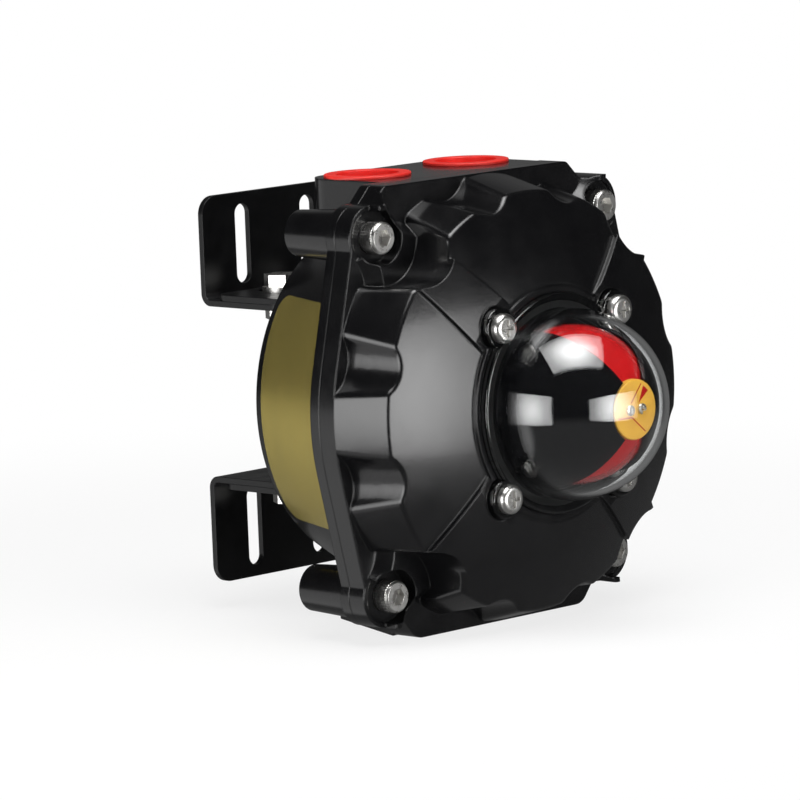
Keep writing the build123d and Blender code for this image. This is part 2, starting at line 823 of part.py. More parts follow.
# Port disc on the drum's crown: a red wedge and red lines let into yellow
def port_marks():
    """Red lines and the wedge, in the plane of the disc."""
    with BuildSketch(across(drum_crown + cap_height)) as marks:
        with BuildLine():
            Polyline(polar(0.25 * cap_radius, 50), polar(0.85 * cap_radius, 42), polar(0.85 * cap_radius, 62), close=True)
        make_face()
        for start, end in ((130, 70), (235, 195), (235, 300)):
            with BuildLine():
                Line(polar(0.3 * cap_radius, start), polar(0.88 * cap_radius, end))
            trace(line_width=mark_depth)
    return marks.sketch


with BuildPart() as port_disc:
    with BuildSketch(across(drum_crown)):
        Circle(cap_radius)
        with Locations(*disc_screw_points):
            Circle(m2_radius + thread_gap, mode=Mode.SUBTRACT)
    extrude(amount=cap_height)
    fillet(port_disc.edges().group_by(Axis.Y)[0].sort_by(SortBy.LENGTH)[-1], cap_height / 4)
    extrude(port_marks(), amount=-mark_depth, mode=Mode.SUBTRACT)
finish(port_disc, "port_disc")

with BuildPart() as port_disc_marks:
    extrude(port_marks(), amount=-mark_depth)
finish(port_disc_marks, "port_disc_marks")

# ---------------------------------------------------------------- shaft, cams and their spring
cam_rears = [middle - cam_width / 2 for middle in switch_middles]
spline_front = cam_rears[1] + cam_width + cam_hub_step + circlip_thickness
post_front = drum_crown - drum_wall - fit_gap
circlip_rear = spigot_end - running_gap - circlip_thickness

with BuildPart() as drive_shaft:
    with BuildSketch(along_shaft()):
        with BuildLine():
            Polyline(
                (0, shaft_tip_depth),
                (journal_radius, shaft_tip_depth),
                (journal_radius, collar_rear),
                (collar_radius, collar_rear),
                (collar_radius, collar_front),
                (spline_radius - spline_tooth_height, collar_front),
                (spline_radius - spline_tooth_height, spline_front),
                (neck_radius, spline_front),
                (neck_radius, dome_seat + fit_gap),
                (indicator_post_radius, dome_seat + fit_gap),
                (indicator_post_radius, post_front),
                (0, post_front),
                close=True,
            )
        make_face()
    revolve(axis=Axis.Y)
    # Splines that hold the cams
    with BuildSketch(across(collar_front)):
        with PolarLocations(spline_radius - spline_tooth_height, spline_teeth):
            Rectangle(2 * spline_tooth_height, spline_radius / 4)
    extrude(amount=spline_front - collar_front)
    # Tongue that enters the slot in the actuator's pinion
    with BuildSketch(across(shaft_tip_depth)):
        Circle(journal_radius + fit_gap)
        Rectangle(2 * journal_radius + 1, tongue_thickness, mode=Mode.SUBTRACT)
    extrude(amount=tongue_length, mode=Mode.SUBTRACT)
    # Circlip groove
    with BuildSketch(across(circlip_rear - running_gap)):
        Circle(journal_radius + fit_gap)
        Circle(journal_radius - circlip_groove, mode=Mode.SUBTRACT)
    extrude(amount=circlip_thickness + 2 * running_gap, mode=Mode.SUBTRACT)
finish(drive_shaft, "drive_shaft")

with BuildPart() as shaft_circlip:
    with BuildSketch(across(circlip_rear)):
        Circle(journal_radius + circlip_reach)
        Circle(journal_radius - circlip_groove + running_gap, mode=Mode.SUBTRACT)
        with Locations((0, journal_radius)):
            Rectangle(journal_radius, 2 * journal_radius, mode=Mode.SUBTRACT)
    extrude(amount=circlip_thickness)
finish(shaft_circlip, "shaft_circlip")
rings("thrust_washer", across(floor_boss_face), [(0, 0)], journal_radius + running_gap, collar_radius, thrust_washer)


def cam(name, rear, lobe_start):
    """A cam that grips the splines; its lobe spans cam_lobe_arc from lobe_start, turning from +X to +Z."""
    with BuildPart() as made:
        with BuildSketch(across(rear)):
            Circle(cam_base_radius)
            with BuildLine():
                start = polar(cam_high_radius, lobe_start)
                end = polar(cam_high_radius, lobe_start + cam_lobe_arc)
                RadiusArc(start, end, cam_high_radius)
            make_hull()
        extrude(amount=cam_width)
        # Knurled collar for turning the cam by hand
        with BuildSketch(across(rear + cam_width)):
            Circle(cam_hub_radius)
        extrude(amount=cam_hub_step)
        with BuildSketch(across(rear)):
            Circle(spline_radius - spline_tooth_height + running_gap)
            with PolarLocations(spline_radius - spline_tooth_height, spline_teeth):
                Rectangle(2 * spline_tooth_height + 2 * running_gap, spline_radius / 4 + 2 * running_gap)
        extrude(amount=cam_width + cam_hub_step, mode=Mode.SUBTRACT)
    finish(made, name)


cam("closed_cam", cam_rears[0], 0)
cam("open_cam", cam_rears[1], -quarter_turn - cam_lobe_arc)


with BuildPart() as cam_spring:
    spring_rear = cam_rears[0] + cam_width + cam_hub_step + fit_gap
    spring_room = cam_rears[1] - fit_gap - spring_rear
    spring_height = spring_room - 2 * spring_wire_radius
    with BuildLine() as coil:
        Helix(spring_height / spring_turns, spring_height, (spline_radius + cam_hub_radius) / 2,
              center=(0, -spring_rear - spring_wire_radius, 0), direction=(0, -1, 0))
    with BuildSketch(Plane(origin=coil.line @ 0, z_dir=coil.line % 0)):
        Circle(spring_wire_radius)
    sweep()
finish(cam_spring, "cam_spring")

# ---------------------------------------------------------------- switches and their levers
near_hole = (switch_face + switch_hole_inset, pivot_z + switch_hole_pitch)
far_hole = (switch_face + switch_depth - switch_hole_inset, pivot_z)
switch_z = pivot_z + switch_hole_pitch / 2
plunger_z = pivot_z + plunger_arm
ear_width = (switch_width - lever_width) / 2 - roller_gap
plunger_tip = pivot_x + lever_face + roller_gap


def toward_plate(x, depth, z):
    """Plane square to X at this point, facing away from the shaft."""
    return Plane(origin=(x, -depth, z), x_dir=(0, 0, 1), z_dir=(1, 0, 0))


def snap_switch(name, rear):
    """Case of a snap-action switch, with two ears for the lever's pin and a bore for the plunger."""
    with BuildPart() as made:
        with BuildSketch(across(rear)):
            with Locations((switch_face + switch_depth / 2, switch_z)):
                Rectangle(switch_depth, switch_length)
        extrude(amount=switch_width)
        chamfer(made.edges().filter_by(Axis.Y), lever_sheet)
        for ear_rear in (rear, rear + switch_width - ear_width):
            with BuildSketch(across(ear_rear)):
                with Locations((pivot_x, pivot_z)):
                    Circle(lever_eye_radius)
                with Locations(((pivot_x + switch_face) / 2, pivot_z)):
                    Rectangle(switch_face - pivot_x + 2 * lever_sheet, 2 * lever_eye_radius)
                with Locations((pivot_x, pivot_z)):
                    Circle(lever_pin_radius, mode=Mode.SUBTRACT)
            extrude(amount=ear_width)
        with BuildSketch(across(rear)):
            with Locations(near_hole, far_hole):
                Circle(m3_radius + screw_hole_gap / 2)
        extrude(amount=switch_width, mode=Mode.SUBTRACT)
        with BuildSketch(toward_plate(switch_face, rear + switch_width / 2, plunger_z)):
            Circle(plunger_radius + fit_gap)
        extrude(amount=plunger_tip + plunger_length + fit_gap - switch_face, mode=Mode.SUBTRACT)
    finish(made, name)


def lever_plane(middle, turn):
    """Plane at the lever's pivot, square to the shaft: x runs along the lever and y towards the cam."""
    along = Vector(-sin(radians(turn)), 0, cos(radians(turn)))
    return Plane(origin=(pivot_x, -middle, pivot_z), x_dir=along, z_dir=(0, -1, 0))


def lever(name, middle, turn):
    """Bent sheet lever: an eye on the pin, a blade over the plunger and two tabs that hold the roller."""
    plane = lever_plane(middle, turn)
    tab = (lever_width - roller_width) / 2 - fit_gap
    with BuildPart() as made:
        with BuildSketch(plane.offset(-lever_width / 2)):
            Circle(lever_eye_radius)
            with Locations((lever_arm / 2 + roller_radius / 2, 0)):
                Rectangle(lever_arm + roller_radius, lever_sheet)
            Circle(lever_pin_radius + fit_gap, mode=Mode.SUBTRACT)
        extrude(amount=lever_width)
        for tab_rear in (-lever_width / 2, lever_width / 2 - tab):
            with BuildSketch(plane.offset(tab_rear)):
                with Locations((lever_arm, roller_offset)):
                    Circle(2 * lever_pin_radius)
                with Locations((lever_arm, roller_offset / 2)):
                    Rectangle(4 * lever_pin_radius, roller_offset)
                with Locations((lever_arm, roller_offset)):
                    Circle(lever_pin_radius, mode=Mode.SUBTRACT)
            extrude(amount=tab)
    finish(made, name)


def lever_set(name, middle, turn):
    """Lever, roller, roller pin and plunger of one switch; turn is how far the lever is let out."""
    plane = lever_plane(middle, turn)
    lever(f"{name}_lever", middle, turn)
    rings(f"{name}_roller", plane.offset(-roller_width / 2), [(lever_arm, roller_offset)],
          lever_pin_radius + running_gap, roller_radius, roller_width)
    with BuildPart() as roller_pin:
        with BuildSketch(plane.offset(-lever_width / 2)):
            with Locations((lever_arm, roller_offset)):
                Circle(lever_pin_radius)
        extrude(amount=lever_width)
    finish(roller_pin, f"{name}_roller_pin")
    tip = plunger_tip - plunger_travel * turn / lever_throw
    with BuildPart() as plunger:
        with BuildSketch(toward_plate(tip, middle, plunger_z)):
            Circle(plunger_radius)
        extrude(amount=plunger_length)
        chamfer(plunger.edges().sort_by(Axis.X)[0], plunger_radius / 3)
    finish(plunger, f"{name}_plunger")


snap_switch("closed_switch", switch_rears[0])
snap_switch("open_switch", switch_rears[1])
lever_set("closed", switch_middles[0], 0)
lever_set("open", switch_middles[1], lever_throw)

with BuildPart() as lever_pins:
    for rear in switch_rears:
        with BuildSketch(across(rear)):
            with Locations((pivot_x, pivot_z)):
                Circle(lever_pin_radius)
        extrude(amount=switch_width)
finish(lever_pins, "lever_pins")

with BuildPart() as switch_spacer_plate:
    with BuildSketch(across(switch_rears[0] + switch_width)):
        with Locations((switch_face + switch_depth / 2, switch_z)):
            Rectangle(switch_depth, switch_length)
        with Locations(near_hole, far_hole):
            Circle(m3_radius + screw_hole_gap / 2, mode=Mode.SUBTRACT)
    extrude(amount=switch_spacer)
finish(switch_spacer_plate, "switch_spacer")

with BuildPart() as switch_terminals:
    for middle in switch_middles:
        with BuildSketch(toward_plate(switch_face + switch_depth, middle, switch_z)):
            with GridLocations(switch_length / 3, 0, 3, 1):
                Rectangle(terminal_sheet, terminal_width)
                Circle(terminal_sheet / 4, mode=Mode.SUBTRACT)
        extrude(amount=terminal_length)
finish(switch_terminals, "switch_terminals")
screws("switch_screws", across(switch_stack_front), [near_hole, far_hole], m3_radius,
       switch_stack_front - chassis_rear, m3_head_radius, m3_head_height, "cross")

# ---------------------------------------------------------------- chassis and terminal block
block_middle = block_x - block_depth / 2
block_points = [(block_middle, (index - (poles - 1) / 2) * pole_pitch) for index in range(poles)]
block_screw_points = [(block_middle, block_z - block_screw_inset), (block_middle, block_screw_inset - block_z)]

with BuildPart() as chassis_plate:
    left = block_x - block_depth - chassis_sheet
    right = switch_face + switch_depth + chassis_sheet
    with BuildSketch(across(chassis_rear)) as outline:
        with Locations(((left + right) / 2, 0)):
            Rectangle(right - left, 2 * block_z)
        Rectangle(2 * (chassis_post_x + chassis_post_radius), 2 * (chassis_post_z + chassis_post_radius))
        fillet(outline.vertices(), bend_radius)
        Circle(cam_high_radius + chassis_sheet / 2, mode=Mode.SUBTRACT)
        with Locations(*corners(chassis_post_x, chassis_post_z)):
            Circle(m4_radius + screw_hole_gap, mode=Mode.SUBTRACT)
        with Locations(near_hole, far_hole, *block_screw_points):
            Circle(m3_radius + thread_gap, mode=Mode.SUBTRACT)
    extrude(amount=chassis_sheet)
finish(chassis_plate, "chassis_plate")
screws("chassis_screws", across(chassis_front), corners(chassis_post_x, chassis_post_z), m4_radius,
       chassis_sheet + chassis_standoff, m4_head_radius, m4_head_height, "cross")

with BuildPart() as terminal_block:
    with BuildSketch(Plane.XY.offset(-block_z)):
        with BuildLine():
            Polyline(
                (block_x, -chassis_front),
                (block_x, -chassis_front - 0.6 * block_height),
                (block_x - 0.2 * block_depth, -chassis_front - block_height),
                (block_x - 0.8 * block_depth, -chassis_front - block_height),
                (block_x - block_depth, -chassis_front - 0.6 * block_height),
                (block_x - block_depth, -chassis_front),
                close=True,
            )
        make_face()
    extrude(amount=2 * block_z)
    with BuildSketch(across(chassis_front + block_height)):
        with Locations(*block_points):
            Circle(m3_head_radius - fit_gap)
    extrude(amount=-well_depth, mode=Mode.SUBTRACT)
    # Wire entries on the side away from the switches
    with BuildSketch(toward_plate(block_x - block_depth, chassis_front + 0.3 * block_height, 0)):
        with GridLocations(pole_pitch, 0, poles, 1):
            Rectangle(0.6 * pole_pitch, 0.3 * block_height)
    extrude(amount=0.3 * block_depth, mode=Mode.SUBTRACT)
    with BuildSketch(across(chassis_front + block_height - well_depth)):
        with Locations(*block_points):
            Circle(m3_radius + thread_gap)
    extrude(amount=-well_depth, mode=Mode.SUBTRACT)
    with BuildSketch(across(chassis_front)):
        with Locations(*block_screw_points):
            Circle(m3_radius + thread_gap)
    extrude(amount=0.4 * block_height, mode=Mode.SUBTRACT)
finish(terminal_block, "terminal_block")
screws("terminal_screws", across(chassis_front + block_height - well_depth), block_points, m3_radius,
       well_depth, m3_head_radius - 2 * fit_gap, m3_head_height, "cross")
screws("block_screws", rearward(chassis_rear), block_screw_points, m3_radius,
       chassis_sheet + 0.4 * block_height, m3_head_radius, m3_head_height, "cross")
screws("ground_screw", across(floor + ground_boss_height), [(0, ground_screw_z)], m4_radius,
       ground_boss_height + floor_thickness / 2, m4_head_radius, m4_head_height, "cross")

# ---------------------------------------------------------------- bracket
def side_on(x):
    """Plane square to X, facing -X: x is the depth and y is Z."""
    return Plane(origin=(x, 0, 0), x_dir=(0, -1, 0), z_dir=(-1, 0, 0))


span = bridge_span / 2
foot_end = span + foot_reach
bolt_xs = (-bracket_bolt_pitch / 2, bracket_bolt_pitch / 2)

with BuildPart() as mounting_bridge:
    with BuildSketch(side_on(foot_width / 2)) as channel:
        with BuildLine():
            Polyline(
                (bridge_leg_end, span + sheet),
                (housing_rear, span + sheet),
                (housing_rear, -span - sheet),
                (bridge_leg_end, -span - sheet),
                (bridge_leg_end, -span),
                (housing_rear - sheet, -span),
                (housing_rear - sheet, span),
                (bridge_leg_end, span),
                close=True,
            )
        make_face()
        fillet(channel.vertices().group_by(Axis.X)[1], bend_radius)
        fillet(channel.vertices().group_by(Axis.X)[-1], bend_radius + sheet)
    extrude(amount=foot_width)
    fillet(mounting_bridge.edges().filter_by(Axis.Z).group_by(Axis.Y)[-1], bridge_corner)
    with BuildSketch(across(housing_rear)):
        Circle(spigot_radius + fit_gap)
        with Locations(*corners(bridge_screw_offset, bridge_screw_offset)):
            Circle(m5_radius + screw_hole_gap)
    extrude(amount=-sheet, mode=Mode.SUBTRACT)
    # Slots that let the bridge slide to suit the height of the actuator's pinion
    with BuildSketch(Plane.XY.offset(-span - sheet)):
        with Locations(*[(x, -bracket_bolt_depth) for x in bolt_xs]):
            SlotCenterToCenter(bridge_slot, 2 * (m6_radius + screw_hole_gap), rotation=90)
    extrude(amount=2 * (span + sheet), mode=Mode.SUBTRACT)
finish(mounting_bridge, "mounting_bridge")


def foot_bracket(name, side):
    """L-shaped foot: its flange lies inside a bridge leg and its plate turns outwards."""
    with BuildPart() as made:
        with BuildSketch(side_on(foot_width / 2)) as angle:
            with BuildLine():
                Polyline(
                    (0, side * (span - sheet)),
                    (0, side * foot_end),
                    (sheet, side * foot_end),
                    (sheet, side * span),
                    (foot_flange, side * span),
                    (foot_flange, side * (span - sheet)),
                    close=True,
                )
            make_face()
            fillet(angle.vertices().sort_by_distance((0, side * (span - sheet)))[0], bend_radius + sheet)
            fillet(angle.vertices().sort_by_distance((sheet, side * span))[0], bend_radius)
        extrude(amount=foot_width)
        outer_edges = made.edges().filter_by(Axis.Y).group_by(Axis.Z)
        fillet(outer_edges[-1] if side > 0 else outer_edges[0], foot_corner)
        fillet(made.edges().filter_by(Axis.Z).group_by(Axis.Y)[0], bridge_corner)
        with BuildSketch(across(0)):
            slot_middle = foot_end - foot_slot_margin - foot_slot_length / 2
            with GridLocations(foot_slot_pitch, 0, 2, 1):
                with Locations((0, side * slot_middle)):
                    SlotOverall(foot_slot_length, foot_slot_width, rotation=90)
        extrude(amount=sheet, mode=Mode.SUBTRACT)
        with BuildSketch(Plane.XY.offset(side * (span - sheet))):
            with Locations(*[(x, -bracket_bolt_depth) for x in bolt_xs]):
                Circle(m6_radius + screw_hole_gap)
        extrude(amount=side * sheet, mode=Mode.SUBTRACT)
    finish(made, name)


foot_bracket("upper_foot", 1)
foot_bracket("lower_foot", -1)
bolt_points = [(x, -bracket_bolt_depth) for x in bolt_xs]
screws("bracket_bolts", Plane.XY.offset(span + sheet + m6_washer_height), bolt_points, m6_radius,
       bracket_bolt_length, m6_hex_width / 2, m6_hex_height, "hex", twin=Plane.XY)
rings("bracket_washers", Plane.XY.offset(span + sheet), bolt_points, m6_radius + screw_hole_gap / 2,
      m6_washer_radius, m6_washer_height, twin=Plane.XY)
rings("bracket_nuts", Plane.XY.offset(span - sheet - m6_nut_height), bolt_points, m6_radius + thread_gap,
      m6_hex_width / 2, m6_nut_height, twin=Plane.XY, sides=6)
screws("bridge_screws", rearward(housing_rear - sheet), corners(bridge_screw_offset, bridge_screw_offset),
       m5_radius, bridge_screw_length, m5_head_radius, m5_head_height, "cross")

# ---------------------------------------------------------------- housing trim and fasteners
screws("cover_bolts", across(bolt_seat), lug_points, m6_radius, cover_bolt_length,
       m6_head_radius, m6_head_height, "socket")
screws("dome_screws", across(dome_seat + dome_flange), corners(dome_screw_offset, dome_screw_offset),
       m5_radius, dome_screw_length, m5_head_radius, m5_head_height, "cross")
shroud_points = [polar(shroud_screw_radius, angle) for angle in (45, 135, 225, 315)]
screws("shroud_screws", across(dome_seat + shroud_floor), shroud_points, m3_radius,
       shroud_floor + m3_head_height, m3_head_radius, m3_head_height, "cross")
screws("disc_screws", across(drum_crown + cap_height), disc_screw_points, m2_radius,
       cap_height + disc_screw_grip, m2_head_radius, m2_head_height, "cross")


def conduit_plug(name, x):
    """Push-in plug: a dished cap whose rim rests on the conduit block, and a sleeve below it."""
    cap_plane = Plane(origin=(x, -housing_rear - conduit_depth_in, top_height))
    with BuildPart() as made:
        with BuildSketch(cap_plane):
            Circle(plug_rim_radius)
        extrude(amount=plug_rim_height)
        with BuildSketch(cap_plane):
            Circle(conduit_bore_radius - fit_gap)
        extrude(amount=-plug_body_length)
        with BuildSketch(cap_plane.offset(plug_rim_height)):
            Circle(plug_dish_radius)
        extrude(amount=-plug_dish, mode=Mode.SUBTRACT)
        fillet(made.edges().group_by(Axis.Z)[-1], plug_rim_height / 3)
        with BuildSketch(cap_plane.offset(-plug_body_length)):
            Circle(conduit_bore_radius - fit_gap - plug_wall)
        extrude(amount=plug_body_length + plug_rim_height - plug_dish - plug_wall, mode=Mode.SUBTRACT)
    finish(made, name)


conduit_plug("left_conduit_plug", -conduit_x)
conduit_plug("right_conduit_plug", conduit_x)

# Bare plate on the bowl's left side
with BuildPart() as side_plate:
    plate_rear = housing_rear + rim_round + plate_margin
    plate_front = base_flange_rear - fit_gap
    widening = (bowl_front_radius - bowl_rear_radius) / bowl_depth
    rear_radius = bowl_rear_radius + widening * (plate_rear - housing_rear) + running_gap
    front_radius = bowl_rear_radius + widening * (plate_front - housing_rear) + running_gap
    with BuildSketch(along_shaft()):
        with BuildLine():
            Polyline(
                (rear_radius, plate_rear),
                (rear_radius + plate_sheet, plate_rear),
                (front_radius + plate_sheet, plate_front),
                (front_radius, plate_front),
                close=True,
            )
        make_face()
    revolve(axis=Axis.Y)
    with BuildSketch(side_on(0)):
        with Locations(((plate_rear + plate_front) / 2, 0)):
            RectangleRounded(plate_front - plate_rear, 2 * plate_half_height, plate_corner)
    extrude(amount=flange_radius, mode=Mode.INTERSECT)
finish(side_plate, "side_plate")
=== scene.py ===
"""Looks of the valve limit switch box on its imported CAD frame: finishes, knurled heads and a studio."""

import json
import math

import bpy
import numpy as np
from mathutils import Matrix, Vector


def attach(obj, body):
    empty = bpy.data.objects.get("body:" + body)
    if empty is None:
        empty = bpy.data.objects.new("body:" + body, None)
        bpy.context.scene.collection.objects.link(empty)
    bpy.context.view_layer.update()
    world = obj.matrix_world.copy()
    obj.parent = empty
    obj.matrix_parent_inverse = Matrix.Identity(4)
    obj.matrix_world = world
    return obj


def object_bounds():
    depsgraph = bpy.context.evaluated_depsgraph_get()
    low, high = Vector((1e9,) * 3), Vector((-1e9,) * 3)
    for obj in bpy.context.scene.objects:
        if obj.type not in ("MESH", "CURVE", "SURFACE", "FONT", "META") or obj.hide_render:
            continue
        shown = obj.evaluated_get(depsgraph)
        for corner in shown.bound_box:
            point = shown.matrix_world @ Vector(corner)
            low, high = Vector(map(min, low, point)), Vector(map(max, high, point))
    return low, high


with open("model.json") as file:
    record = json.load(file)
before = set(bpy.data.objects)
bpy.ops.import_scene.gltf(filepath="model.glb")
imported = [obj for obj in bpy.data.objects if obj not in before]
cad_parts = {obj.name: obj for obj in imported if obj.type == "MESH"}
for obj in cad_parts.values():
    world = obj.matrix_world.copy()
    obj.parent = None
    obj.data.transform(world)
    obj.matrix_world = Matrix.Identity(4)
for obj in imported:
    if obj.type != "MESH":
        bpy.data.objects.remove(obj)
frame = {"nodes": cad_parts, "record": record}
cad_low, cad_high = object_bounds()

MM = 0.001
WHITE = (1.0, 1.0, 1.0, 1.0)


# ---- node helpers -------------------------------------------------------------------------------

NOISE_LOW, NOISE_HIGH = 0.3, 0.7  # where most of a noise pattern lies
NOISE_ROUGHNESS = 0.55
GRAIN_DETAIL = 3.0
DRIFT_DETAIL = 4.0
DRIFT_GRAINS = 9  # grains to a patch of drifting colour and gloss
EDGE_SAMPLES = 6


def start(name):
    """A new material with its tree, its Principled shader and its output."""
    made = bpy.data.materials.new(name)
    made.use_nodes = True
    tree = made.node_tree
    return made, tree, tree.nodes["Principled BSDF"], tree.nodes["Material Output"]


def node(tree, kind, inputs=None, **settings):
    """A node with its settings, and its inputs given as values or as sockets to link from."""
    made = tree.nodes.new(kind)
    for key, value in settings.items():
        setattr(made, key, value)
    for key, value in (inputs or {}).items():
        if isinstance(value, bpy.types.NodeSocket):
            tree.links.new(value, made.inputs[key])
        else:
            made.inputs[key].default_value = value
    return made


def number(tree, operation, first, second):
    """What a Math node makes of two numbers."""
    return node(tree, "ShaderNodeMath", {0: first, 1: second}, operation=operation).outputs[0]


def along(tree, direction, aim):
    """The cosine of the angle between two directions."""
    made = node(tree, "ShaderNodeVectorMath", {0: direction, 1: aim}, operation="DOT_PRODUCT")
    return made.outputs["Value"]


def from_origin(tree):
    """Distance from the object's origin, in metres."""
    here = node(tree, "ShaderNodeTexCoord").outputs["Object"]
    return node(tree, "ShaderNodeVectorMath", {0: here}, operation="LENGTH").outputs["Value"]


def noise(tree, size, detail=GRAIN_DETAIL, stretch=(1.0, 1.0, 1.0)):
    """Noise in object coordinates whose grains are about size metres wide, before any stretch."""
    here = node(tree, "ShaderNodeTexCoord").outputs["Object"]
    placed = node(tree, "ShaderNodeMapping", {"Vector": here, "Scale": stretch}).outputs["Vector"]
    inputs = {"Vector": placed, "Scale": 1.0 / size, "Detail": detail, "Roughness": NOISE_ROUGHNESS}
    return node(tree, "ShaderNodeTexNoise", inputs).outputs["Fac"]


def spread(tree, value, low, high, from_low=NOISE_LOW, from_high=NOISE_HIGH, curve="LINEAR"):
    """value moved from from_low..from_high to low..high, and held at the ends beyond them."""
    ends = {"From Min": from_low, "From Max": from_high, "To Min": low, "To Max": high}
    inputs = {"Value": value, **ends}
    return node(tree, "ShaderNodeMapRange", inputs, interpolation_type=curve).outputs["Result"]


def blend_colours(tree, share, first, second):
    """A colour that goes from first to second as share goes from 0 to 1."""
    made = node(tree, "ShaderNodeMix", {"Factor": share}, data_type="RGBA")
    for socket, colour in zip([s for s in made.inputs if s.type == "RGBA"], (first, second)):
        socket.default_value = (*colour, 1.0)
    return [s for s in made.outputs if s.type == "RGBA"][0]


def show_mix(tree, out, share, first, second):
    """Shows shader first where share is 0 and shader second where it is 1."""
    mix = node(tree, "ShaderNodeMixShader", {0: share, 1: first, 2: second})
    tree.links.new(mix.outputs["Shader"], out.inputs["Surface"])


def bump(tree, height, depth, normal=None):
    """Relief depth metres high."""
    inputs = {"Height": height, "Distance": depth, "Strength": 1.0}
    if normal is not None:
        inputs["Normal"] = normal
    return node(tree, "ShaderNodeBump", inputs).outputs["Normal"]


def rounded(tree, radius):
    """Normals that make sharp edges look rounded by radius metres."""
    return node(tree, "ShaderNodeBevel", {"Radius": radius}, samples=EDGE_SAMPLES).outputs["Normal"]


def finish_of(
    name, colour, other, rough, grain, relief, metal=0.0, edge=0.0, stretch=(1, 1, 1), **sockets
):
    """A finish whose colour drifts between colour and other, and whose gloss drifts over rough.

    grain is the size of its fine relief, relief the height of that, and edge the radius that sharp
    edges look rounded by, all in millimetres. sockets gives further values for the shader.
    """
    made, tree, shader, _ = start(name)
    drift = noise(tree, grain * MM * DRIFT_GRAINS, DRIFT_DETAIL, stretch)
    fine = noise(tree, grain * MM, GRAIN_DETAIL, stretch)
    shade = blend_colours(tree, spread(tree, drift, 0, 1), colour, other)
    tree.links.new(shade, shader.inputs["Base Color"])
    tree.links.new(spread(tree, drift, *rough), shader.inputs["Roughness"])
    normal = rounded(tree, edge * MM) if edge else None
    tree.links.new(bump(tree, fine, relief * MM, normal), shader.inputs["Normal"])
    shader.inputs["Metallic"].default_value = metal
    for key, value in sockets.items():
        shader.inputs[key.replace("_", " ")].default_value = value
    return made


# ---- finishes -----------------------------------------------------------------------------------

LENS_TINT = (0.97, 0.98, 0.98, 1.0)
LENS_SHADOW = (0.93, 0.94, 0.94, 1.0)
LENS_IOR = 1.58
LENS_ROUGH = (0.0, 0.025)
LENS_HAZE, LENS_HAZE_DETAIL = 12 * MM, 5.0
LENS_RIPPLE, LENS_RIPPLE_DETAIL, LENS_RIPPLE_HEIGHT = 16 * MM, 1.0, 0.03 * MM


def clear_plastic():
    """Clear polycarbonate, slightly hazy and uneven, whose shadow is nearly clear."""
    made, tree, shader, out = start("clear_polycarbonate")
    shader.inputs["Base Color"].default_value = LENS_TINT
    shader.inputs["Transmission Weight"].default_value = 1.0
    shader.inputs["IOR"].default_value = LENS_IOR
    haze = noise(tree, LENS_HAZE, LENS_HAZE_DETAIL)
    tree.links.new(spread(tree, haze, *LENS_ROUGH), shader.inputs["Roughness"])
    ripple = noise(tree, LENS_RIPPLE, LENS_RIPPLE_DETAIL)
    tree.links.new(bump(tree, ripple, LENS_RIPPLE_HEIGHT), shader.inputs["Normal"])
    passed = node(tree, "ShaderNodeBsdfTransparent", {"Color": LENS_SHADOW}).outputs["BSDF"]
    shadow = node(tree, "ShaderNodeLightPath").outputs["Is Shadow Ray"]
    show_mix(tree, out, shadow, shader.outputs["BSDF"], passed)
    return made


STEEL, STEEL_DARKER, KNURL_DARKER = (0.78, 0.77, 0.74), (0.72, 0.71, 0.69), (0.7, 0.69, 0.67)

